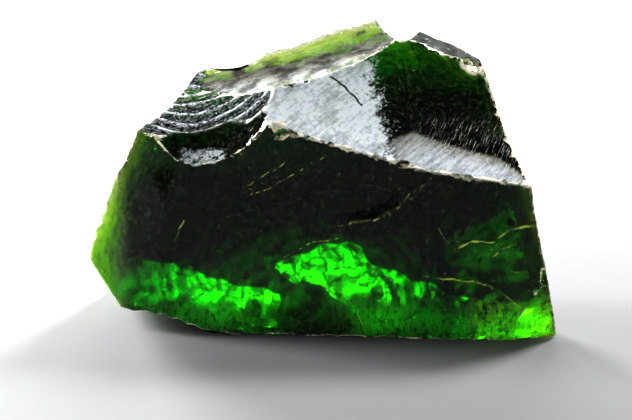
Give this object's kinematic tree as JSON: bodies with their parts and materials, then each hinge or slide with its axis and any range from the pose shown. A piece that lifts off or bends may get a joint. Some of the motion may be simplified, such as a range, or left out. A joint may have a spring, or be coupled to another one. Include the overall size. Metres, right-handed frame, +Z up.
{
  "type": "obsidian chunk",
  "caption": "Lump of green see-through natural glass with a tall front, hollow top facet, rippled bowl, sharp broken edges and a flat underside to rest on.",
  "frame": {"origin": "middle of the bounding box, at the level of the flat underside", "axes": "+X along the 82 mm length, -Y out of the tall front face, +Z up from the flat underside"},
  "size_m": [0.0824, 0.0386, 0.0527],
  "materials": {
    "green_glass": "glossy broken glass, darkening to near black where it is thick"
  },
  "bodies": {
    "root": {"chunk": "green_glass"}
  },
  "joints": []
}
